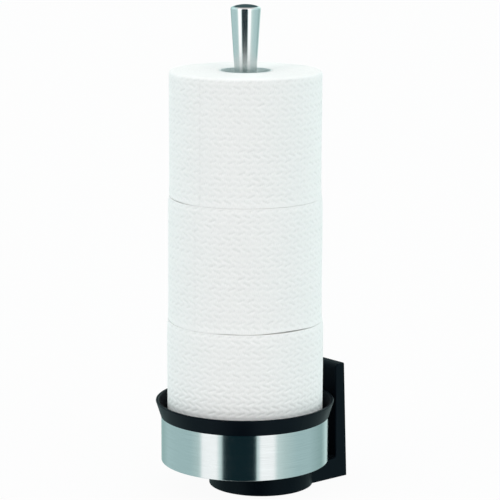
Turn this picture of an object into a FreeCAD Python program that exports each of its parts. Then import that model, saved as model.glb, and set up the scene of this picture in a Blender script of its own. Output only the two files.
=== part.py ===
import FreeCAD, Part
import math
import os

from FreeCAD import Vector

# Wall-mounted toilet roll storage holder with three rolls on its post.
# All sizes are in millimetres. Heights are measured up from the bracket's underside, and the finished
# pieces are then lowered so that the origin lies on the wall, midway between the two wall screw holes.
# X runs along the wall, Y points into the wall and Z is up.

# Wall bracket: a tapered back plate, a short arm and a round drum under the tray
PLATE_HEIGHT = 93.8
PLATE_WIDTH = 60.5
PLATE_TOP_WIDTH = 52.3
PLATE_DEPTH = 11.4
PLATE_TOP_DEPTH = 9.2
ARM_HEIGHT = 15.9
DRUM_RADIUS = 41.9
DRUM_INSET = 4.95
DRUM_DECK = 3.0
BRACKET_SHELL = 2.6
BRACKET_RIB = 2.2
TOP_ROUND = 3.4
EDGE_ROUND = 1.2
BACK_ROUND = 0.4
CORNER_ROUND = 3.0
DRUM_FOOT_ROUND = 0.6
DRUM_RIB_DROP = 18.0
ARM_RIB_RECESS = 1.0

# Countersunk wall screw holes, both above the drum so that a screwdriver reaches them with the tray off
SCREW_SPACING = 32.0
SCREW_BELOW_TOP = 13.4
SCREW_HOLE_RADIUS = 2.4
SCREW_HEAD_RADIUS = 4.7
SCREW_BOSS_WALL = 3.6

# Tray with its flared lip
BAND_LIFT = 23.2
FLOOR_RISE = 16.2
TRAY_FLOOR = 3.0
TRAY_WALL = 2.2
TRAY_RIB = 2.0
TRAY_RIBS = 10
LIP_RADIUS = 71.6
LIP_FLARE = 4.5
LIP_TO_PLATE = 0.7
LIP_WIDTH = 2.6
LIP_RISE = 12.9
LIP_OVERHANG = 0.3
LIP_ROUND = 0.8
FLOOR_ROUND = 2.5
LOCATOR_DROP = 5.0
LOCATOR_CLEARANCE = 0.3
SKIRT_RECESS = 0.6

# Brushed steel band round the tray
BAND_HEIGHT = 36.4
BAND_SHEET = 0.8
BAND_ROUND = 0.3
BAND_CLEARANCE = 0.05

# Post, its foot and the flared handle
POST_RADIUS = 8.4
POST_WALL = 1.5
SPIGOT_CLEARANCE = 0.05
SPIGOT_LENGTH = 20.0
FOOT_RADIUS = 15.0
FOOT_FLANGE = 3.0
HANDLE_RADIUS = 11.95
HANDLE_SUNK = 5.0
HANDLE_RISE = 51.4
HANDLE_ROUND = 2.0
HANDLE_DOME = 2.4

# Tie screw and washer, from below into the post's foot
TIE_RADIUS = 3.0
TIE_CLEARANCE = 0.3
THREAD_CLEARANCE = 0.05
TIE_BITE = 12.0
TIE_HEAD_RADIUS = 5.5
TIE_HEAD_HEIGHT = 3.8
TIE_SOCKET_WIDTH = 4.0
TIE_SOCKET_DEPTH = 2.2
TIE_BOSS_RADIUS = 9.0
TIE_BOSS_DROP = 4.0
WASHER_RADIUS = 7.5
WASHER_THICKNESS = 1.6

# Rolls, from the bottom of the stack to its top, with the room that each leaves to the tray's wall
ROLL_ROOM = {"bottom": 2.05, "middle": 3.25, "top": 4.25}
ROLL_HEIGHTS = {"bottom": 98.4, "middle": 98.4, "top": 99.4}
ROLL_GAP = 0.3
ROLL_EDGE_ROUND = 1.5
CORE_RADIUS = 19.8
CORE_WALL = 1.0
CORE_GLUE = 0.05

# Heights and radii that follow from the sizes above
BAND_RADIUS = LIP_RADIUS - LIP_FLARE
TRAY_OUTER = BAND_RADIUS - BAND_SHEET - BAND_CLEARANCE
TRAY_INNER = TRAY_OUTER - TRAY_WALL
WALL_TO_POST = PLATE_DEPTH + LIP_TO_PLATE + LIP_RADIUS
DRUM_SETBACK = TRAY_INNER - DRUM_INSET - DRUM_RADIUS
REACH = WALL_TO_POST - DRUM_SETBACK
BAND_TOP = BAND_LIFT + BAND_HEIGHT
LIP_TOP = BAND_TOP + LIP_RISE
FLOOR_TOP = BAND_LIFT + FLOOR_RISE
DRUM_HEIGHT = FLOOR_TOP - TRAY_FLOOR
DECK_UNDERSIDE = DRUM_HEIGHT - DRUM_DECK
SCREW_UPPER = PLATE_HEIGHT - SCREW_BELOW_TOP
SCREW_LOWER = SCREW_UPPER - SCREW_SPACING
ORIGIN_HEIGHT = (SCREW_UPPER + SCREW_LOWER) / 2
SCREW_BOSS_RADIUS = SCREW_HOLE_RADIUS + SCREW_BOSS_WALL
LOCATOR_INNER = DRUM_RADIUS + LOCATOR_CLEARANCE
TIE_HOLE_RADIUS = TIE_RADIUS + TIE_CLEARANCE
TIE_SEAT = DECK_UNDERSIDE - TIE_BOSS_DROP
FOOT_TOP = FLOOR_TOP + FOOT_FLANGE
SPIGOT_RADIUS = POST_RADIUS - POST_WALL - SPIGOT_CLEARANCE
STACK_TOP = FLOOR_TOP + sum(height + ROLL_GAP for height in ROLL_HEIGHTS.values())
HANDLE_JOINT = STACK_TOP - HANDLE_SUNK
OVERRUN = 1.0


def half_width(height):
    """Half the bracket's width: its sides draw in evenly from the underside to the top of the plate."""
    return (PLATE_WIDTH + (PLATE_TOP_WIDTH - PLATE_WIDTH) * height / PLATE_HEIGHT) / 2


def plate_depth(height):
    """Distance from the wall to the plate's front face, which leans back towards the top."""
    share = (height - ARM_HEIGHT) / (PLATE_HEIGHT - ARM_HEIGHT)
    return PLATE_DEPTH + (PLATE_TOP_DEPTH - PLATE_DEPTH) * share


def box(x0, x1, y0, y1, z0, z1):
    """Block between two corners."""
    return Part.makeBox(x1 - x0, y1 - y0, z1 - z0, Vector(x0, y0, z0))


def upright(radius, z0, z1, y):
    """Cylinder that stands on the plane X = 0, at the given distance from the wall."""
    return Part.makeCylinder(radius, z1 - z0, Vector(0, -y, z0))


def revolve(profile, y):
    """Solid of revolution about an upright axis. The profile is a list of (radius, height) corners."""
    corners = [Vector(r, -y, z) for r, z in profile]
    face = Part.Face(Part.makePolygon(corners + corners[:1]))
    return face.revolve(Vector(0, -y, 0), Vector(0, 0, 1), 360)


def circles_at(shape, radius, height):
    """Circular edges of a shape that have the given radius and height."""
    found = []
    for edge in shape.Edges:
        if edge.Degenerated:
            continue
        curve = edge.Curve
        if isinstance(curve, Part.Circle) and abs(curve.Radius - radius) < 1e-3:
            if abs(curve.Center.z - height) < 1e-3:
                found.append(edge)
    return found


def bracket_arm():
    """Plate and arm as one L-shaped block, tapered on its sides, with its outer edges rounded."""
    corners = [
        (0, 0),
        (0, PLATE_HEIGHT),
        (PLATE_TOP_DEPTH, PLATE_HEIGHT),
        (PLATE_DEPTH, ARM_HEIGHT),
        (REACH, ARM_HEIGHT),
        (REACH, 0),
    ]
    widest = max(PLATE_WIDTH, PLATE_TOP_WIDTH) / 2 + OVERRUN
    points = [Vector(-widest, -forward, height) for forward, height in corners]
    side = Part.Face(Part.makePolygon(points + points[:1]))
    block = side.extrude(Vector(2 * widest, 0, 0))
    for corner, radius in ((corners[2], TOP_ROUND), (corners[3], CORNER_ROUND)):
        edges = [e for e in block.Edges if runs_along_x(e, corner)]
        block = block.makeFillet(radius, edges)
    for sense in (-1, 1):
        foot = -OVERRUN
        head = PLATE_HEIGHT + OVERRUN
        outline = [
            Vector(sense * half_width(foot), OVERRUN, foot),
            Vector(sense * half_width(head), OVERRUN, head),
            Vector(sense * (widest + OVERRUN), OVERRUN, head),
            Vector(sense * (widest + OVERRUN), OVERRUN, foot),
        ]
        wedge = Part.Face(Part.makePolygon(outline + outline[:1]))
        block = block.cut(wedge.extrude(Vector(0, -REACH - 2 * OVERRUN, 0)))
    block = block.makeFillet(EDGE_ROUND, [e for e in block.Edges if is_side_edge(e)])
    return block.makeFillet(BACK_ROUND, [e for e in block.Edges if is_back_edge(e)])


def runs_along_x(edge, corner):
    """Whether an edge lies along X through a corner of the L-shaped profile."""
    return all(math.hypot(v.Y + corner[0], v.Z - corner[1]) < 1e-3 for v in edge.Vertexes)


def is_side_edge(edge):
    """Whether an edge borders a side of the bracket, away from the wall, the underside and the drum."""
    middle = edge.valueAt((edge.FirstParameter + edge.LastParameter) / 2)
    on_side = abs(abs(middle.x) - half_width(middle.z)) < 1e-3
    inside = middle.z > 1e-3 and -REACH + 1e-3 < middle.y < -1e-3
    return on_side and inside


def is_back_edge(edge):
    """Whether an edge lies on the wall, all along the plate's outline."""
    return all(abs(vertex.Y) < 1e-3 for vertex in edge.Vertexes)


def plate_hollow():
    """Hollow in the back of the plate, open to the wall, that leaves an even skin."""
    rings = []
    for height in (ARM_HEIGHT, PLATE_HEIGHT - BRACKET_SHELL):
        x = half_width(height) - BRACKET_SHELL
        y = BRACKET_SHELL - plate_depth(height)
        ring = [(-x, OVERRUN), (x, OVERRUN), (x, y), (-x, y), (-x, OVERRUN)]
        rings.append(Part.makePolygon([Vector(a, b, height) for a, b in ring]))
    return Part.makeLoft(rings, True, True)


def wall_bracket():
    """Bracket moulding: hollow at the back and underneath, stiffened by ribs and screw bosses."""
    arm = bracket_arm()
    drum = upright(DRUM_RADIUS, 0, DRUM_HEIGHT, REACH)
    drum_space = upright(DRUM_RADIUS, -OVERRUN, DRUM_HEIGHT + OVERRUN, REACH)
    drum = drum.makeFillet(DRUM_FOOT_ROUND, circles_at(drum, DRUM_RADIUS, 0))
    outside = arm.fuse(drum)

    inner_x = half_width(ARM_HEIGHT) - BRACKET_SHELL
    arm_hollow = box(-inner_x, inner_x, -REACH, -BRACKET_SHELL, -OVERRUN, ARM_HEIGHT - BRACKET_SHELL)
    drum_hollow = upright(DRUM_RADIUS - BRACKET_SHELL, -OVERRUN, DECK_UNDERSIDE, REACH)
    moulding = outside.cut([plate_hollow(), arm_hollow.cut(drum_space), drum_hollow])

    half_rib = BRACKET_RIB / 2
    skin = BRACKET_SHELL / 2
    deep = max(PLATE_DEPTH, PLATE_TOP_DEPTH)
    plate_ribs = [box(-half_rib, half_rib, -deep, 0, ARM_HEIGHT - skin, PLATE_HEIGHT - skin)]
    for height in (SCREW_LOWER, SCREW_UPPER):
        depth = plate_depth(height) - skin
        boss_start = Vector(0, 0, height)
        plate_ribs.append(Part.makeCylinder(SCREW_BOSS_RADIUS, depth, boss_start, Vector(0, -1, 0)))
        x = half_width(height) - skin
        plate_ribs.append(box(-x, x, -depth, 0, height - half_rib, height + half_rib))
    wide = max(PLATE_WIDTH, PLATE_TOP_WIDTH)
    plate_front = box(-wide, wide, -deep, 0, 0, PLATE_HEIGHT)
    ribs = [rib.common(arm).common(plate_front) for rib in plate_ribs]

    for x in (-inner_x / 3, inner_x / 3):
        rib = box(x - half_rib, x + half_rib, -REACH, -skin, ARM_RIB_RECESS, ARM_HEIGHT - skin)
        ribs.append(rib.cut(drum_space.common(upright(DRUM_RADIUS - skin, -OVERRUN, DRUM_HEIGHT, REACH))))

    rib_foot = DECK_UNDERSIDE - DRUM_RIB_DROP
    drum_ribs = [box(-half_rib, half_rib, -REACH - DRUM_RADIUS, DRUM_RADIUS - REACH, rib_foot, DRUM_HEIGHT)]
    for y in (WALL_TO_POST, REACH - DRUM_SETBACK):
        drum_ribs.append(box(-DRUM_RADIUS, DRUM_RADIUS, -y - half_rib, half_rib - y, rib_foot, DRUM_HEIGHT))
    drum_core = upright(DRUM_RADIUS - skin, 0, DRUM_HEIGHT - DRUM_DECK / 2, REACH)
    driver_room = upright(TIE_BOSS_RADIUS, -OVERRUN, TIE_SEAT, WALL_TO_POST)
    ribs += [rib.common(drum_core).cut(driver_room) for rib in drum_ribs]
    ribs.append(upright(TIE_BOSS_RADIUS, TIE_SEAT, DRUM_HEIGHT - DRUM_DECK / 2, WALL_TO_POST))

    moulding = moulding.fuse(ribs)
    holes = [upright(TIE_HOLE_RADIUS, -OVERRUN, DRUM_HEIGHT + OVERRUN, WALL_TO_POST)]
    sink = SCREW_HEAD_RADIUS - SCREW_HOLE_RADIUS
    for height in (SCREW_LOWER, SCREW_UPPER):
        front = plate_depth(height)
        start = Vector(0, OVERRUN, height)
        holes.append(Part.makeCylinder(SCREW_HOLE_RADIUS, front + 2 * OVERRUN, start, Vector(0, -1, 0)))
        seat = Vector(0, sink - front, height)
        mouth = SCREW_HEAD_RADIUS + OVERRUN
        holes.append(Part.makeCone(SCREW_HOLE_RADIUS, mouth, sink + OVERRUN, seat, Vector(0, -1, 0)))
    return moulding.cut(holes).removeSplitter()


def tray():
    """Tray moulding: a cup with a flared lip. A ring under its floor fits round the drum."""
    lip_root = BAND_RADIUS + LIP_OVERHANG
    lip_inner = LIP_RADIUS - LIP_WIDTH
    flare = LIP_RISE / (LIP_RADIUS - lip_root)
    flare_start = LIP_TOP - (lip_inner - TRAY_INNER) * flare
    skirt_foot = BAND_LIFT + SKIRT_RECESS
    cup = revolve(
        [
            (TIE_HOLE_RADIUS, DRUM_HEIGHT),
            (TRAY_INNER, DRUM_HEIGHT),
            (TRAY_INNER, skirt_foot),
            (TRAY_OUTER, skirt_foot),
            (TRAY_OUTER, BAND_TOP),
            (lip_root, BAND_TOP),
            (LIP_RADIUS, LIP_TOP),
            (lip_inner, LIP_TOP),
            (TRAY_INNER, flare_start),
            (TRAY_INNER, FLOOR_TOP),
            (TIE_HOLE_RADIUS, FLOOR_TOP),
        ],
        WALL_TO_POST,
    )
    for radius in (LIP_RADIUS, lip_inner):
        cup = cup.makeFillet(LIP_ROUND, circles_at(cup, radius, LIP_TOP))
    cup = cup.makeFillet(FLOOR_ROUND, circles_at(cup, TRAY_INNER, FLOOR_TOP))

    low = DRUM_HEIGHT - LOCATOR_DROP
    high = DRUM_HEIGHT + TRAY_FLOOR / 2
    drum_room = upright(LOCATOR_INNER, low - OVERRUN, DRUM_HEIGHT, REACH)
    locator = upright(LOCATOR_INNER + TRAY_RIB, low, high, REACH)
    cup_space = upright(TRAY_OUTER - TRAY_WALL / 2, low, high, WALL_TO_POST)
    stiffeners = [locator.common(cup_space).cut(drum_room)]
    for number in range(TRAY_RIBS):
        rib = box(0, TRAY_OUTER, -TRAY_RIB / 2, TRAY_RIB / 2, low, high)
        rib.rotate(Vector(0, 0, 0), Vector(0, 0, 1), 360 * (number + 0.5) / TRAY_RIBS)
        rib.translate(Vector(0, -WALL_TO_POST, 0))
        stiffeners.append(rib.common(cup_space).cut(drum_room))
    cup = cup.fuse(stiffeners)
    hole = upright(TIE_HOLE_RADIUS, low - OVERRUN, FLOOR_TOP + OVERRUN, WALL_TO_POST)
    return cup.cut(hole).removeSplitter()


def ring(outer, inner, z0, z1, y):
    """Plain ring or tube on an upright axis."""
    return upright(outer, z0, z1, y).cut(upright(inner, z0 - OVERRUN, z1 + OVERRUN, y))


def steel_band():
    """Rolled steel strip with broken edges. It butts against the underside of the tray's lip."""
    inner = BAND_RADIUS - BAND_SHEET
    band = ring(BAND_RADIUS, inner, BAND_LIFT, BAND_TOP, WALL_TO_POST)
    edges = circles_at(band, BAND_RADIUS, BAND_LIFT) + circles_at(band, BAND_RADIUS, BAND_TOP)
    return band.makeFillet(BAND_ROUND, edges)


def post_foot():
    """Flanged plug on the tray's floor. Its spigot fills the foot of the tube and takes the tie screw."""
    thread = TIE_RADIUS + THREAD_CLEARANCE
    thread_end = FOOT_TOP + TIE_BITE + OVERRUN
    return revolve(
        [
            (thread, FLOOR_TOP),
            (FOOT_RADIUS, FLOOR_TOP),
            (FOOT_RADIUS, FOOT_TOP),
            (SPIGOT_RADIUS, FOOT_TOP),
            (SPIGOT_RADIUS, FOOT_TOP + SPIGOT_LENGTH),
            (0, FOOT_TOP + SPIGOT_LENGTH),
            (0, thread_end),
            (thread, thread_end),
        ],
        WALL_TO_POST,
    )


def post_tube():
    """Tube from the foot's flange to the handle's shoulder."""
    return ring(POST_RADIUS, POST_RADIUS - POST_WALL, FOOT_TOP, HANDLE_JOINT, WALL_TO_POST)


def handle():
    """Solid grip that widens evenly from the tube upwards, with a rounded shoulder and a domed top."""
    rim = STACK_TOP + HANDLE_RISE - HANDLE_DOME
    spigot_foot = HANDLE_JOINT - SPIGOT_LENGTH

    def at(radius, height):
        return Vector(radius, -WALL_TO_POST, height)

    dome_radius = (HANDLE_RADIUS**2 + HANDLE_DOME**2) / (2 * HANDLE_DOME)
    dome_half = HANDLE_RADIUS / 2
    dome_drop = dome_radius - math.sqrt(dome_radius**2 - dome_half**2)
    dome = Part.Arc(
        at(HANDLE_RADIUS, rim),
        at(dome_half, rim + HANDLE_DOME - dome_drop),
        at(0, rim + HANDLE_DOME),
    )
    corners = [
        at(0, rim + HANDLE_DOME),
        at(0, spigot_foot),
        at(SPIGOT_RADIUS, spigot_foot),
        at(SPIGOT_RADIUS, HANDLE_JOINT),
        at(POST_RADIUS, HANDLE_JOINT),
        at(HANDLE_RADIUS, rim),
    ]
    lines = [Part.LineSegment(a, b).toShape() for a, b in zip(corners, corners[1:])]
    wire = Part.Wire(lines + [dome.toShape()])
    grip = Part.Face(wire).revolve(Vector(0, -WALL_TO_POST, 0), Vector(0, 0, 1), 360)
    return grip.makeFillet(HANDLE_ROUND, circles_at(grip, HANDLE_RADIUS, rim))


def tie_washer():
    """Flat washer against the boss under the drum's deck."""
    return ring(WASHER_RADIUS, TIE_HOLE_RADIUS, TIE_SEAT - WASHER_THICKNESS, TIE_SEAT, WALL_TO_POST)


def tie_screw():
    """Cylinder-head screw with a hexagon socket, up through the deck and the tray into the post's foot."""
    bearing = TIE_SEAT - WASHER_THICKNESS
    underside = bearing - TIE_HEAD_HEIGHT
    head = upright(TIE_HEAD_RADIUS, underside, bearing, WALL_TO_POST)
    shank = upright(TIE_RADIUS, bearing, FOOT_TOP + TIE_BITE, WALL_TO_POST)
    corner = TIE_SOCKET_WIDTH / math.sqrt(3)
    hexagon = []
    for number in range(7):
        angle = math.radians(60 * number)
        hexagon.append(Vector(corner * math.cos(angle), corner * math.sin(angle) - WALL_TO_POST, underside))
    socket = Part.Face(Part.makePolygon(hexagon)).extrude(Vector(0, 0, TIE_SOCKET_DEPTH))
    return head.fuse(shank).cut(socket).removeSplitter()


def roll_paper(radius, base, height):
    """Wound paper of one roll, with softly rounded outer edges."""
    inner = CORE_RADIUS + CORE_WALL + CORE_GLUE
    paper = ring(radius, inner, base, base + height, WALL_TO_POST)
    edges = circles_at(paper, radius, base) + circles_at(paper, radius, base + height)
    return paper.makeFillet(ROLL_EDGE_ROUND, edges)


def roll_core(base, height):
    """Cardboard tube that the paper is wound on."""
    return ring(CORE_RADIUS + CORE_WALL, CORE_RADIUS, base, base + height, WALL_TO_POST)


pieces = {
    "wall_bracket": wall_bracket(),
    "tray": tray(),
    "steel_band": steel_band(),
    "post_foot": post_foot(),
    "post_tube": post_tube(),
    "handle": handle(),
    "tie_screw": tie_screw(),
    "tie_washer": tie_washer(),
}
roll_base = FLOOR_TOP + ROLL_GAP
for place, height in ROLL_HEIGHTS.items():
    radius = TRAY_INNER - ROLL_ROOM[place]
    pieces["roll_" + place + "_paper"] = roll_paper(radius, roll_base, height)
    pieces["roll_" + place + "_core"] = roll_core(roll_base, height)
    roll_base += height + ROLL_GAP

os.makedirs("parts", exist_ok=True)
for name, shape in pieces.items():
    if len(shape.Solids) != 1 or not shape.isValid():
        raise ValueError(name + " is not one valid solid")
    solid = shape.Solids[0]
    solid.translate(Vector(0, 0, -ORIGIN_HEIGHT))
    solid.exportStep("parts/" + name + ".step")
    bounds = solid.optimalBoundingBox()
    size = " x ".join(f"{side:.1f}" for side in (bounds.XLength, bounds.YLength, bounds.ZLength))
    print(f"{name}: {size} mm, {solid.Volume / 1000:.1f} cm3")
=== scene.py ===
import math

import bpy
import numpy as np
from mathutils import Matrix, Vector


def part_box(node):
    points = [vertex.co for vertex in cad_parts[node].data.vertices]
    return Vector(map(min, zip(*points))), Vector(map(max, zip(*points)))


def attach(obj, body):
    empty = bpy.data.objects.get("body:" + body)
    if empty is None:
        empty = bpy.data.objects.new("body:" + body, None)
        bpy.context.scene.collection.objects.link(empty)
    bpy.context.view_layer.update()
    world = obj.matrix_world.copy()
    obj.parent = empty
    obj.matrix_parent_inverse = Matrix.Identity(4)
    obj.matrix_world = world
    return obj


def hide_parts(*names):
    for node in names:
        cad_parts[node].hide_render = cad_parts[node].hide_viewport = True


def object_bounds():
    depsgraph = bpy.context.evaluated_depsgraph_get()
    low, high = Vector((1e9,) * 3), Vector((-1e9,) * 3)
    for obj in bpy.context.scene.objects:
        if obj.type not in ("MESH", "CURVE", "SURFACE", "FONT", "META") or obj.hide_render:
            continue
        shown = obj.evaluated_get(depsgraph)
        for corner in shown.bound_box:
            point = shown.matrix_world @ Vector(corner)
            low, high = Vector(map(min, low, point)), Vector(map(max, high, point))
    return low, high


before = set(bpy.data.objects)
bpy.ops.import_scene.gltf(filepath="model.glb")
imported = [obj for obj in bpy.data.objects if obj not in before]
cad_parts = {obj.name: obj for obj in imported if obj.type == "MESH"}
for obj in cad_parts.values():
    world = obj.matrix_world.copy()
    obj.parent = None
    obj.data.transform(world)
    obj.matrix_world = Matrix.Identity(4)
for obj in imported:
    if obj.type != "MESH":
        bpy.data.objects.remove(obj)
cad_low, cad_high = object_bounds()

# Wall bracket: one black moulding of back plate, arm and the drum that the tray stands on.
# It is injection moulded in glass-filled nylon with a fine spark-eroded skin, and two
# countersunk screws hold its plate to the wall.


def node(tree, kind, inputs=None, **settings):
    """A new shader node. Its inputs are numbers, colours or the sockets that feed them."""
    made = tree.nodes.new("ShaderNode" + kind)
    for name, value in settings.items():
        setattr(made, name, value)
    for name, value in (inputs or {}).items():
        if isinstance(value, bpy.types.NodeSocket):
            tree.links.new(value, made.inputs[name])
        else:
            made.inputs[name].default_value = value
    return made


def new_finish(name, colour, **constants):
    """A material with one surface shader, its colour and its plain settings."""
    finish = bpy.data.materials.new(name)
    finish.use_nodes = True
    skin = finish.node_tree.nodes["Principled BSDF"]
    skin.inputs["Base Color"].default_value = (*colour, 1.0)
    for socket, value in constants.items():
        skin.inputs[socket.replace("_", " ")].default_value = value
    return finish, finish.node_tree, skin


def noise(tree, place, scale, detail, roughness=0.5):
    """Cloudy noise, which mostly stays between a quarter and three quarters."""
    inputs = {"Vector": place, "Scale": scale, "Detail": detail, "Roughness": roughness}
    return node(tree, "TexNoise", inputs).outputs[0]


def graded(tree, value, low, high, first, last, **settings):
    """A value that goes from first to last as another goes from low to high, and no further."""
    inputs = {"Value": value, "From Min": low, "From Max": high, "To Min": first, "To Max": last}
    return node(tree, "MapRange", inputs, **settings).outputs["Result"]


def spread(tree, cloud, low, high):
    """Stretches a noise over a range."""
    return graded(tree, cloud, 0.25, 0.75, low, high)


def give_relief(tree, skin, height, depth, strength):
    """Lets a surface rise and dip with a height between 0 and 1."""
    bump = node(tree, "Bump", {"Strength": strength, "Distance": depth, "Height": height})
    tree.links.new(bump.outputs["Normal"], skin.inputs["Normal"])


def moulded_plastic(name, colour, gloss, grain_size):
    """Black plastic with a fine moulded grain and a sheen that varies from place to place."""
    cold_sheen = (0.55, 0.9, 1.0, 1.0)
    finish, tree, skin = new_finish(name, colour, Specular_IOR_Level=0.08, Specular_Tint=cold_sheen)
    place = node(tree, "TexCoord").outputs["Object"]
    cloud = noise(tree, place, scale=38.0, detail=5.0)
    tree.links.new(spread(tree, cloud, gloss - 0.05, gloss + 0.07), skin.inputs["Roughness"])
    grain = noise(tree, place, scale=1.0 / grain_size, detail=3.0)
    give_relief(tree, skin, grain, depth=grain_size * 0.03, strength=0.35)
    return finish


def dress(finish, *names):
    """Gives CAD nodes their finish."""
    for name in names:
        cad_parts[name].material_slots[0].material = finish


BRACKET_BLACK = (0.0008, 0.0018, 0.0042)
BRACKET_GLOSS = 0.48
BRACKET_GRAIN = 0.6e-3
dress(moulded_plastic("bracket_plastic", BRACKET_BLACK, BRACKET_GLOSS, BRACKET_GRAIN), "wall_bracket")

# Tray: a black cup with a flared lip, moulded in the same nylon as the bracket.
# It stands on the drum and a ring under its floor keeps it from turning.
TRAY_BLACK = (0.0008, 0.0018, 0.0042)
TRAY_GLOSS = 0.41
TRAY_GRAIN = 0.5e-3
dress(moulded_plastic("tray_plastic", TRAY_BLACK, TRAY_GLOSS, TRAY_GRAIN), "tray")

# Steel band: a strip of stainless steel, brushed along its length, rolled into a hoop
# and pressed over the tray's wall until it butts under the lip.
band_low, band_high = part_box("steel_band")
POST = Vector(((band_low.x + band_high.x) / 2, (band_low.y + band_high.y) / 2, 0.0))
BAND_RADIUS = (band_high.x - band_low.x) / 2


def sum_of(tree, operation, *values):
    """The result of one sum on numbers or sockets."""
    return node(tree, "Math", dict(enumerate(values)), operation=operation).outputs[0]


def times(tree, value, factor):
    """A value multiplied by another."""
    return sum_of(tree, "MULTIPLY", value, factor)


def blend(tree, share, first, last):
    """A colour between two colours or sockets."""
    return node(tree, "Mix", {0: share, 6: first, 7: last}, data_type="RGBA").outputs[2]


def toned(colour, factor):
    """A colour made lighter or darker, with full cover."""
    return (*[factor * part for part in colour], 1.0)


def round_the_post(tree):
    """Sockets for a point's turn about the post, from the front, its radius and its height."""
    place = node(tree, "TexCoord").outputs["Object"]
    shifted = node(tree, "VectorMath", {0: place, 1: POST}, operation="SUBTRACT").outputs[0]
    axes = node(tree, "SeparateXYZ", {0: shifted}).outputs
    turn = sum_of(tree, "ARCTAN2", axes["X"], times(tree, axes["Y"], -1.0))
    flat = node(tree, "VectorMath", {0: shifted, 1: (1, 1, 0)}, operation="MULTIPLY").outputs[0]
    radius = node(tree, "VectorMath", {0: flat}, operation="LENGTH").outputs["Value"]
    return turn, radius, axes["Z"]


def streaks(tree, turn, height, radius, length, width, detail):
    """Noise drawn out round the post: streaks of a given length and width."""
    along = times(tree, turn, radius / length)
    across = times(tree, height, 1.0 / width)
    place = node(tree, "CombineXYZ", {0: along, 1: across}).outputs[0]
    return noise(tree, place, scale=1.0, detail=detail, roughness=0.6)


ROUND_THE_HOOP = {"Metallic": 1.0, "Anisotropic": 1.0, "Anisotropic_Rotation": 0.25}


def brushed_steel(name, colour, gloss, radius):
    """Stainless steel with hairlines round the hoop."""
    finish, tree, skin = new_finish(name, colour, **ROUND_THE_HOOP)
    turn, _, height = round_the_post(tree)
    hair = streaks(tree, turn, height, radius, length=30e-3, width=0.5e-3, detail=3.0)
    broad = streaks(tree, turn, height, radius, length=90e-3, width=1.6e-3, detail=2.0)
    lines = blend(tree, spread(tree, hair, 0.0, 1.0), toned(colour, 0.91), toned(colour, 1.09))
    tree.links.new(lines, skin.inputs["Base Color"])
    both = times(tree, sum_of(tree, "ADD", hair, broad), 0.5)
    tree.links.new(spread(tree, both, gloss - 0.03, gloss + 0.04), skin.inputs["Roughness"])
    give_relief(tree, skin, hair, depth=8e-6, strength=0.12)
    return finish


BAND_STEEL = (0.45, 0.49, 0.49)
BAND_GLOSS = 0.165
dress(brushed_steel("band_steel", BAND_STEEL, BAND_GLOSS, BAND_RADIUS), "steel_band")

# Post: a stainless tube on a turned foot, with a solid flared handle on top.
# Tube and handle are turned and polished, and the domed top of the handle is lapped smoother.


def polished_steel(name, colour, gloss, radius):
    """Polished steel with faint turning marks and wiped-on haze, smoother where it faces up."""
    finish, tree, skin = new_finish(name, colour, **ROUND_THE_HOOP)
    turn, _, height = round_the_post(tree)
    marks = streaks(tree, turn, height, radius, length=30e-3, width=0.3e-3, detail=2.0)
    haze = noise(tree, node(tree, "TexCoord").outputs["Object"], scale=90.0, detail=4.0)
    sheen = spread(tree, haze, gloss - 0.03, gloss + 0.04)
    facing = node(tree, "SeparateXYZ", {0: node(tree, "NewGeometry").outputs["Normal"]}).outputs["Z"]
    lapped = graded(tree, facing, low=0.3, high=0.9, first=1.0, last=0.25)
    tree.links.new(times(tree, sheen, lapped), skin.inputs["Roughness"])
    give_relief(tree, skin, marks, depth=5e-6, strength=0.12)
    return finish


HANDLE_STEEL = (0.553, 0.582, 0.58)
HANDLE_GLOSS = 0.19
GRIP_RADIUS = 11e-3
dress(polished_steel("post_steel", HANDLE_STEEL, HANDLE_GLOSS, GRIP_RADIUS), "post_tube", "handle")

# Foot, tie screw and washer: plain steel with a dull zinc plating.
# The screw goes up through the drum and the tray into the foot and clamps all three.


def zinc_plating(name, colour, gloss):
    """Zinc plating: dull, slightly cloudy metal."""
    finish, tree, skin = new_finish(name, colour, Metallic=1.0)
    cloud = noise(tree, node(tree, "TexCoord").outputs["Object"], scale=320.0, detail=6.0)
    tree.links.new(spread(tree, cloud, gloss - 0.08, gloss + 0.1), skin.inputs["Roughness"])
    give_relief(tree, skin, cloud, depth=20e-6, strength=0.2)
    return finish


ZINC = (0.46, 0.46, 0.44)
ZINC_GLOSS = 0.36
dress(zinc_plating("zinc_plate", ZINC, ZINC_GLOSS), "post_foot", "tie_screw", "tie_washer")

# Cores: tubes of pale board, wound on a slant from strips that are glued edge to edge.
# Each roll's paper is wound on its core, which slides freely over the post.


def give_shades(tree, skin, value, first, last):
    """Lets a surface's colour follow a value, from one (value, colour) pair to another."""
    ramp = node(tree, "ValToRGB", {"Fac": value})
    for element, (position, colour) in zip(ramp.color_ramp.elements, (first, last)):
        element.position = position
        element.color = colour
    tree.links.new(ramp.outputs["Color"], skin.inputs["Base Color"])


def wound_board(name, colour, strip_width, bore):
    """Board with the slanting joints of its strips, and flecks of darker fibre."""
    finish, tree, skin = new_finish(name, colour, Roughness=0.9, Specular_IOR_Level=0.2)
    turn, _, height = round_the_post(tree)
    slant = sum_of(tree, "ADD", times(tree, turn, bore), height)
    strip = sum_of(tree, "FRACT", times(tree, slant, 1.0 / strip_width))
    joint = graded(tree, strip, low=0.0, high=0.035, first=0.0, last=1.0)
    fleck = noise(tree, node(tree, "TexCoord").outputs["Object"], scale=900.0, detail=5.0)
    surface = sum_of(tree, "ADD", joint, times(tree, fleck, 0.5))
    give_relief(tree, skin, surface, depth=0.1e-3, strength=0.5)
    give_shades(tree, skin, fleck, (0.3, toned(colour, 0.88)), (0.62, toned(colour, 1.0)))
    return finish


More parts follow.
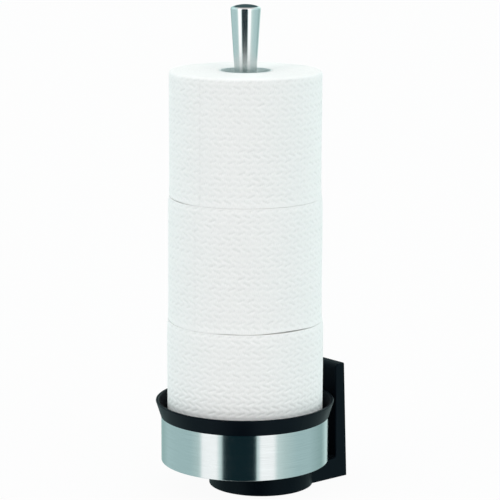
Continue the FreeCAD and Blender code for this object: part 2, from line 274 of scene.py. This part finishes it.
BOARD = (0.86, 0.92, 0.91)
STRIP_WIDTH = 45e-3
CORE_BORE = 19.8e-3
ROLLS = ("bottom", "middle", "top")
board = wound_board("core_board", BOARD, STRIP_WIDTH, CORE_BORE)
dress(board, *["roll_" + place + "_core" for place in ROLLS])

# Rolls: soft tissue wound on the cores, with short slanted dashes pressed into it in rows
# that lean one way and then the other, and lines of perforations at the ends of sheets.
# They stand on each other, and their soft edges leave a thin uneven seam between them.
WHITE = (0.922, 0.902, 0.89)
SHADE = (0.755, 0.75, 0.737)
# How much darker pressed dashes and perforated cuts are painted: partly the denser pressed paper, partly
# painted shade in their hollows.
PAINTED_DASH_SHADE = 0.135
CREPE_DEPTH = 0.12e-3
CREPE_ROUND = 170.0
CREPE_UP = 350.0
LAYERS_OUT = 2200.0
LAYERS_ROUND = 3.0


def tissue(name, ends):
    """Soft white paper: crepe lines and pressed dashes with painted shade on the side, the windings' edges
    on the ends.
    """
    finish, tree, skin = new_finish(name, WHITE, Roughness=0.95, Specular_IOR_Level=0.12)
    turn, radius, height = round_the_post(tree)
    if ends:
        grain = {0: times(tree, radius, LAYERS_OUT), 1: times(tree, turn, LAYERS_ROUND)}
    else:
        grain = {0: times(tree, turn, CREPE_ROUND), 1: times(tree, height, CREPE_UP)}
    place = node(tree, "CombineXYZ", grain).outputs[0]
    crepe = noise(tree, place, scale=1.0, detail=5.0, roughness=0.62)
    give_relief(tree, skin, crepe, depth=CREPE_DEPTH, strength=0.4)
    pressed = node(tree, "Attribute", attribute_name="pressed").outputs["Fac"]
    # Painted shade: the paper's colour is darkened wherever it is pressed, in the dashes and the
    # perforations.
    tone_and_dash_shade = sum_of(tree, "SUBTRACT", crepe, times(tree, pressed, PAINTED_DASH_SHADE))
    give_shades(tree, skin, tone_and_dash_shade, (0.1, toned(SHADE, 1.0)), (0.53, toned(WHITE, 1.0)))
    return finish


DASHES_ROUND = 50
DASH_LENGTH = 4.9e-3
DASH_WIDTH = 0.65e-3
DASH_LEAN = math.radians(21)
DASH_DEPTH = 0.55e-3
ROW_PITCH = 4.4e-3


def dash_strength(dash, row):
    """How hard a dash is pressed, from a half to 1, as a lot drawn from its place on the roll."""
    lot = np.sin(12.9898 * (dash % DASHES_ROUND) + 78.233 * row) * 43758.5453
    return 0.5 + 0.5 * (lot - np.floor(lot))


def pressed_dashes(along, rise, pitch):
    """Depth, from 0 to 1, of the slanted dashes at points along the paper and up it."""
    deepest = np.zeros_like(along)
    nearest_row = np.round(rise / ROW_PITCH)
    for row in (nearest_row - 1, nearest_row, nearest_row + 1):
        side = np.where(row % 2 == 0, 1.0, -1.0)
        shift = np.where(row % 2 == 0, 0.0, 0.5)
        nearest = np.round(along / pitch - shift)
        for dash in (nearest - 1, nearest, nearest + 1):
            beside = along - (dash + shift) * pitch
            over = rise - row * ROW_PITCH
            lengthwise = beside * math.cos(DASH_LEAN) + over * side * math.sin(DASH_LEAN)
            crosswise = over * math.cos(DASH_LEAN) - beside * side * math.sin(DASH_LEAN)
            beyond = np.maximum(np.abs(lengthwise) - DASH_LENGTH / 2, 0.0)
            soft = np.exp(-(beyond**2 + crosswise**2) / DASH_WIDTH**2)
            deepest = np.maximum(deepest, dash_strength(dash, row) * soft)
    return deepest


def turn_from(turn, centre):
    """Turn from a centre, the short way round."""
    return (turn - centre + math.pi) % (2 * math.pi) - math.pi


PERFORATION_PITCH = 6.5e-3
PERFORATION_WIDTH = 0.5e-3
BRIDGE_DEPTH = 0.3


def perforation(turn, rise, line, radius):
    """Depth, from 0 to 1, of a line of cuts and bridges that runs up the roll at one turn, in degrees."""
    off = turn_from(turn, math.radians(line)) * radius
    in_cut = np.cos(2 * math.pi * rise / PERFORATION_PITCH) > -0.1
    depth = BRIDGE_DEPTH + (1 - BRIDGE_DEPTH) * in_cut
    return depth * np.exp(-((off / PERFORATION_WIDTH) ** 2))


def wander(turn, draw, size, counts):
    """A gentle random wander round the roll."""
    total = np.zeros_like(turn)
    for count in counts:
        total = total + size / count**0.5 * np.sin(count * turn + draw.uniform(0, 2 * math.pi))
    return total


EDGE_WANDER = 0.22
EDGE_WAVES_ROUND = (2, 5, 9, 14)


def edge_shape(turn, draw, size, gaps):
    """Rounding of a roll's edge, and the gap that opens where its outer sheets lie unevenly."""
    rounding = size * (1 + wander(turn, draw, EDGE_WANDER, EDGE_WAVES_ROUND))
    gap = np.zeros_like(turn)
    for opening, more_round, centre, half_width in gaps:
        off = turn_from(turn, math.radians(centre))
        near = np.exp(-((off / math.radians(half_width)) ** 2))
        gap = gap + opening * near
        rounding = rounding + more_round * near
    return rounding, gap


COLUMNS = 528
SIDE_RINGS = 134
END_RINGS = 20
EDGE_RINGS = 7
BORE_RINGS = 5


def rings_of_a_roll(turn, bore, radius, low, high, head, foot):
    """Radius and height of each ring, down the bore, out, up the side and in, and which are on the side."""
    across = np.linspace(0, 1, END_RINGS)[:, None]
    arc = np.linspace(0, math.pi / 2, EDGE_RINGS)[1:-1, None]
    up = np.linspace(0, 1, SIDE_RINGS)[:, None]
    down = np.linspace(high, low, BORE_RINGS)[:, None]
    rings = [
        (bore + 0 * turn + 0 * down, down + 0 * turn),
        (bore + across[1:] * (radius - foot - bore), low + 0 * across[1:] + 0 * turn),
        (radius - foot + foot * np.sin(arc), low + foot - foot * np.cos(arc)),
        (radius + 0 * up + 0 * turn, low + foot + up * (high - head - low - foot)),
        (radius - head + head * np.cos(arc), high - head + head * np.sin(arc)),
        (bore + across[:0:-1] * (radius - head - bore), high + 0 * across[1:] + 0 * turn),
    ]
    radii, heights = [np.concatenate(values) for values in zip(*rings)]
    on_side = np.zeros((len(radii), 1))
    on_side[BORE_RINGS + END_RINGS - 1 : len(radii) - END_RINGS + 1] = 1.0
    return radii, heights, on_side


def closed_mesh(name, points, side_rows, pressed):
    """Mesh of a closed grid of points, with the side's finish and the ends' finish."""
    rows, columns = points.shape[:2]
    row, column = np.meshgrid(np.arange(rows), np.arange(columns), indexing="ij")
    next_row = (row + 1) % rows
    next_column = (column + 1) % columns
    corners = ((row, column), (row, next_column), (next_row, next_column), (next_row, column))
    quads = np.stack([a * columns + b for a, b in corners], axis=-1)
    mesh = bpy.data.meshes.new(name)
    mesh.from_pydata(points.reshape(-1, 3).tolist(), [], quads.reshape(-1, 4).tolist())
    mesh.polygons.foreach_set("use_smooth", [True] * len(mesh.polygons))
    finish = np.repeat(np.where(side_rows > 0, 0, 1), columns)
    mesh.polygons.foreach_set("material_index", finish.astype(np.int32))
    depth = mesh.attributes.new("pressed", "FLOAT", "POINT")
    depth.data.foreach_set("value", pressed.ravel().astype(np.float32))
    mesh.update()
    return mesh


GLUE = 0.06e-3
REST_ON_NEXT = 0.045e-3
OPEN_ROUNDING = 2.6e-3
SEAM_ROUNDING = 0.2e-3
OPEN_EDGE = (OPEN_ROUNDING, ())
SEAM_EDGE = (SEAM_ROUNDING, ())
PLAIN_PAPER = 1e-3
PLAIN_ROUNDINGS = 1.3
WAVES = 0.2e-3
WAVES_ROUND = (2, 3, 5, 8)
WAVE_TWIST = 0.3
TWISTS_UP = 28
SETTLING = 3e-3
LAYER_DIP = 0.12e-3
LAYER_MEAN = 1.2
LAYER_SWAY = 0.3
FIRM_RIM = 1e-3
DIP_FADE = 3e-3
GAP_REACH = 2e-3
GAP_RIM = 6


def roll_of_paper(place, seed, head_edge, foot_edge, lines, head_radius, foot_radius):
    """Mesh of one roll's paper: pressed side, soft edges, and ends with the layers' edges."""
    box_low, box_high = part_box("roll_" + place + "_paper")
    radius = (box_high.x - box_low.x) / 2
    high = box_high.z + (0.0 if head_edge is OPEN_EDGE else REST_ON_NEXT)
    low = box_low.z - (0.0 if foot_edge is OPEN_EDGE else REST_ON_NEXT)
    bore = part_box("roll_" + place + "_core")[1].x - POST.x + GLUE
    draw = np.random.default_rng(seed)
    turn = np.linspace(-math.pi, math.pi, COLUMNS, endpoint=False)[None, :]
    head, head_gap = edge_shape(turn, draw, *head_edge)
    foot, foot_gap = edge_shape(turn, draw, *foot_edge)
    out, up, on_side = rings_of_a_roll(turn, bore, radius, low, high, head, foot)

    # The side, with its dashes and perforated lines, and plain paper along both edges.
    along, rise = np.broadcast_arrays(turn * radius, up - low)
    pressed = pressed_dashes(along, rise, 2 * math.pi * radius / DASHES_ROUND)
    for line, strength in lines:
        pressed = np.maximum(pressed, strength * perforation(turn, rise, line, radius))
    from_head = np.clip((high - up) / (PLAIN_PAPER + PLAIN_ROUNDINGS * head), 0, 1)
    from_foot = np.clip((up - low) / (PLAIN_PAPER + PLAIN_ROUNDINGS * foot), 0, 1)
    pressed = pressed * on_side * from_head * from_foot

    # A soft roll isn't quite round, and its edges settle towards the width of the roll they meet.
    waves = wander(turn + WAVE_TWIST * np.sin(TWISTS_UP * up), draw, WAVES, WAVES_ROUND)
    settled = (head_radius - radius) * np.exp((up - high) / SETTLING)
    settled = settled + (foot_radius - radius) * np.exp((low - up) / SETTLING)
    outward = np.where(on_side > 0, 1.0, np.clip((out - bore) / (radius - bore), 0, 1))
    paper_out = out + outward * (waves + settled) - DASH_DEPTH * pressed

    # On the ends some layers lie a little deeper, and at the rim the gaps open.
    layer = draw.uniform(-1, 1, len(out))[:, None]
    dip = LAYER_DIP * (LAYER_MEAN + layer + LAYER_SWAY * np.sin(3 * turn + 7 * layer))
    dip = dip * np.clip((radius - out - FIRM_RIM) / DIP_FADE, 0, 1)
    inwards = np.where(up > (low + high) / 2, -1.0, 1.0)
    on_end = (1 - on_side) * (out > bore + 1e-6)
    rim = outward**GAP_RIM
    paper_up = up + inwards * on_end * dip
    paper_up = paper_up + rim * foot_gap * np.exp((low - up) / GAP_REACH)
    paper_up = paper_up - rim * head_gap * np.exp((up - high) / GAP_REACH)

    paper_x = POST.x + paper_out * np.cos(turn)
    paper_y = POST.y + paper_out * np.sin(turn)
    points = np.stack([paper_x, paper_y, paper_up], axis=-1)
    return closed_mesh("roll_" + place + "_tissue", points, on_side[:, 0], pressed)


# A gap is its opening, the extra rounding there, the turn of its middle and its half width in degrees.
LEFT_CORNER = (0.1e-3, 3.0e-3, -130, 22)
LEFT_GAP = (0.32e-3, 0.15e-3, -99, 10)
LOOSE_LEFT = (SEAM_ROUNDING, (LEFT_GAP, LEFT_CORNER))
LOWER_LEFT_CORNER = (0.1e-3, 2.6e-3, -130, 22)
FRONT_GAP = (0.32e-3, 0.12e-3, -52, 7)
RIGHT_GAP = (0.85e-3, 0.25e-3, -5, 22)
LOOSE_RIGHT = (SEAM_ROUNDING, (RIGHT_GAP, FRONT_GAP, LOWER_LEFT_CORNER))
# A perforated line is its turn in degrees and its depth, where 1 is a dash pressed fully.
TOP_LINE = (-76.0, 1.5)
MIDDLE_LINE = (-80.0, 1.1)
EDGES_AND_LINES = {
    "bottom": (SEAM_EDGE, OPEN_EDGE, ()),
    "middle": (SEAM_EDGE, LOOSE_RIGHT, (MIDDLE_LINE,)),
    "top": (OPEN_EDGE, LOOSE_LEFT, (TOP_LINE,)),
}
FIRST_SEED = 11
side_paper = tissue("tissue_side", False)
end_paper = tissue("tissue_ends", True)
roll_radii = [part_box("roll_" + place + "_paper")[1].x - POST.x for place in ROLLS]
seam_radii = [(below + above) / 2 for below, above in zip(roll_radii, roll_radii[1:])]
edge_radii = [roll_radii[0], *seam_radii, roll_radii[-1]]
for number, place in enumerate(ROLLS):
    head_and_foot = (edge_radii[number + 1], edge_radii[number])
    paper = roll_of_paper(place, FIRST_SEED + number, *EDGES_AND_LINES[place], *head_and_foot)
    paper.materials.append(side_paper)
    paper.materials.append(end_paper)
    roll = bpy.data.objects.new("paper_" + place, paper)
    bpy.context.scene.collection.objects.link(roll)
    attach(roll, "roll_" + place)
    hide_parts("roll_" + place + "_paper")

# Floor: a plain white sheet under the holder, bright enough for a white photograph.
# It keeps a faint shadow, and the metal looks past it into the studio.
FLOOR_HALF = 9.0
FLOOR_GAP = 0.3e-3
FLOOR_GREY = (0.62, 0.62, 0.62)
FLOOR_GLOW = 0.95
floor_z = cad_low.z - FLOOR_GAP
floor_corners = [(x * FLOOR_HALF, y * FLOOR_HALF, floor_z) for x, y in ((-1, -1), (1, -1), (1, 1), (-1, 1))]
floor_mesh = bpy.data.meshes.new("floor")
floor_mesh.from_pydata(floor_corners, [], [(0, 1, 2, 3)])
floor = bpy.data.objects.new("floor", floor_mesh)
bpy.context.scene.collection.objects.link(floor)
floor_paper, tree, sheet = new_finish("floor_paper", FLOOR_GREY, Roughness=1.0, Specular_IOR_Level=0.0)
glow = node(tree, "Emission", {"Color": (1, 1, 1, 1), "Strength": 1.0})
share = times(tree, node(tree, "LightPath").outputs["Is Camera Ray"], FLOOR_GLOW)
mixed = node(tree, "MixShader", {0: share, 1: sheet.outputs[0], 2: glow.outputs[0]})
tree.links.new(mixed.outputs[0], tree.nodes["Material Output"].inputs["Surface"])
floor_mesh.materials.append(floor_paper)
floor.visible_glossy = False

# Studio: pale walls, a softbox on either side of the camera, and darkness behind the camera,
# which shows as the dark stripe down the steel. The walls are lighter higher up, under a white
# ceiling, and a dark panel behind the holder shows in the domed top of the handle.
CAMERA_AZIMUTH = math.radians(49.7)
SOFTBOX = 1.85
GREY_WALL = (0.44, 0.64, 0.63)
PALE_WALL = (0.68, 0.91, 0.92)
LAMP = (1.85, 1.79, 1.8)
LAMP_RIM = (1.06, 1.23, 1.22)
LAMP_EDGE = (0.84, 1.04, 1.03)
DARK_EDGE = (0.03, 0.075, 0.085)
DARK = (0.006, 0.026, 0.034)
BACKDROP = (0.78, 1.0, 0.98)
ROUND_THE_CAMERA = (
    (-180, GREY_WALL),
    (-152, GREY_WALL),
    (-131, PALE_WALL),
    (-80, PALE_WALL),
    (-67, LAMP_EDGE),
    (-63.5, LAMP_RIM),
    (-60, LAMP),
    (-39.5, LAMP),
    (-34.3, LAMP_RIM),
    (-31.2, LAMP_EDGE),
    (-30.4, DARK_EDGE),
    (-25, DARK),
    (12, DARK),
    (15.5, DARK_EDGE),
    (16.3, LAMP_EDGE),
    (19, LAMP_RIM),
    (22.5, LAMP),
    (40, LAMP),
    (46.5, LAMP_RIM),
    (58, LAMP_EDGE),
    (78, PALE_WALL),
    (100, PALE_WALL),
    (132, GREY_WALL),
    (147, BACKDROP),
    (180, BACKDROP),
)
UPPER_WALLS = 1.5
UPPER_FROM = (0.0, 0.3)
CEILING = (1.1, 1.02, 1.02)
CEILING_FROM = (0.55, 0.9)
BACK_SHADE = (0.08, 0.135, 0.145)
BACK_FROM = (math.radians(166), math.radians(171))
HORIZON = (-0.03, -0.01)
PANEL_TOP = (0.78, 0.84)
PANEL_POINT = 0.09
PANEL_SIDES = (0.31, 0.36)
world = bpy.data.worlds.new("studio")
bpy.context.scene.world = world
world.use_nodes = True
tree = world.node_tree
way = node(tree, "TexCoord").outputs["Generated"]
to_camera = {"Vector": way, "Angle": math.pi / 2 - CAMERA_AZIMUTH}
turned = node(tree, "VectorRotate", to_camera, rotation_type="Z_AXIS").outputs[0]
ahead, aside, up = node(tree, "SeparateXYZ", {0: turned}).outputs
angle = sum_of(tree, "ARCTAN2", aside, ahead)
off_front = sum_of(tree, "ABSOLUTE", angle)


def ring_of_light(stops):
    """Light all round the horizon, as (degrees from the camera, colour) stops."""
    ramp = node(tree, "ValToRGB", {"Fac": sum_of(tree, "MULTIPLY_ADD", angle, 1 / (2 * math.pi), 0.5)})
    elements = ramp.color_ramp.elements
    while len(elements) < len(stops):
        elements.new(0.5)
    for element, (degrees, colour) in zip(elements, stops):
        element.position = degrees / 360 + 0.5
        element.color = toned(colour, 1 / SOFTBOX)
    return ramp.outputs["Color"]


lift = graded(tree, up, *UPPER_FROM, 1.0, UPPER_WALLS)
ring = ring_of_light(ROUND_THE_CAMERA)
walls = node(tree, "VectorMath", {0: ring, "Scale": lift}, operation="SCALE").outputs[0]
overhead = graded(tree, up, *CEILING_FROM, 0.0, 1.0, interpolation_type="SMOOTHSTEP")
room = blend(tree, overhead, walls, toned(CEILING, 1 / SOFTBOX))

over_floor = graded(tree, up, *HORIZON, 0.0, 1.0)
under_top = graded(tree, up, *PANEL_TOP, 1.0, 0.0)
off_back = sum_of(tree, "SUBTRACT", math.pi, off_front)
fan = sum_of(tree, "DIVIDE", off_back, sum_of(tree, "ADD", up, PANEL_POINT))
within_sides = graded(tree, fan, *PANEL_SIDES, 1.0, 0.0)
panel = times(tree, times(tree, over_floor, under_top), within_sides)
light = tree.nodes["Background"]
tree.links.new(blend(tree, panel, room, toned(BACK_SHADE, 1 / SOFTBOX)), light.inputs["Color"])
light.inputs["Strength"].default_value = SOFTBOX

# Background: plain white, which the camera sees all round the holder, and which the metal
# mirrors only low down behind it. Elsewhere the metal mirrors the studio.
plain = node(tree, "Background", {"Color": (1, 1, 1, 1), "Strength": 1.0})
rays = node(tree, "LightPath").outputs
mirrored = sum_of(tree, "MAXIMUM", rays["Is Glossy Ray"], rays["Is Transmission Ray"])
behind = graded(tree, off_front, *BACK_FROM, 0.0, 1.0)
low_behind = times(tree, sum_of(tree, "SUBTRACT", 1.0, over_floor), behind)
seen = sum_of(tree, "MAXIMUM", rays["Is Camera Ray"], times(tree, mirrored, low_behind))
mixed = node(tree, "MixShader", {0: seen, 1: light.outputs[0], 2: plain.outputs[0]})
tree.links.new(mixed.outputs[0], tree.nodes["World Output"].inputs["Surface"])

# Camera: a long lens, about 1.9 m away, to the right of the holder's front and a little above it.
# It is aimed so that the holder lies in the picture as it does in the photograph.
DISTANCE = 1.9
ELEVATION = math.radians(10.96)
ROLL = math.radians(0.15)
AIM = Vector((0.0025, -0.0808, 0.1291))
back = Vector(
    (
        math.sin(CAMERA_AZIMUTH) * math.cos(ELEVATION),
        -math.cos(CAMERA_AZIMUTH) * math.cos(ELEVATION),
        math.sin(ELEVATION),
    )
)
lens = bpy.data.cameras.new("photo_camera")
lens.sensor_width = 36.0
lens.lens = 172.8
camera = bpy.data.objects.new("photo_camera", lens)
bpy.context.scene.collection.objects.link(camera)
camera.matrix_world = (
    Matrix.Translation(AIM + back * DISTANCE)
    @ (-back).to_track_quat("-Z", "Y").to_matrix().to_4x4()
    @ Matrix.Rotation(ROLL, 4, "Z")
)
bpy.context.scene.camera = camera
bpy.context.scene.view_settings.view_transform = "Standard"
